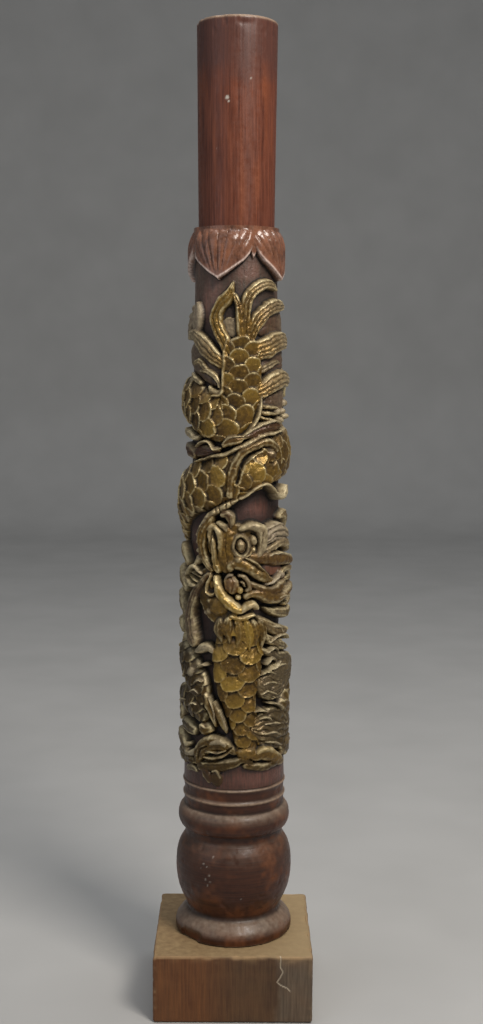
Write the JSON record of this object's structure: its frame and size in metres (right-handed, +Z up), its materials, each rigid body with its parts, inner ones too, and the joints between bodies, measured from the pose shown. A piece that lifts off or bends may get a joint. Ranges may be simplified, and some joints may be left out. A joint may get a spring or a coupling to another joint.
{
  "type": "carved temple pillar",
  "caption": "Turned and carved wooden pillar with a dragon coiled round its shaft, lotus-petal collar, round top tenon, turned foot and square block base.",
  "frame": {"origin": "middle of the block's underside, which is the lowest point of the object", "axes": "+Z runs up the pillar, -Y is the front with the dragon's head, +X is to the right of someone facing the front"},
  "size_m": [0.104, 0.104, 0.64],
  "materials": {
    "pillar_wood": "dark red-brown stained and lacquered wood, the carving worn gold over it with dust in the hollows",
    "block_wood": "saw-cut wood, stained red-brown on the sides and dusty ochre on top"
  },
  "bodies": {
    "root": {"pillar": "pillar_wood", "plinth_block": "block_wood"}
  },
  "joints": []
}
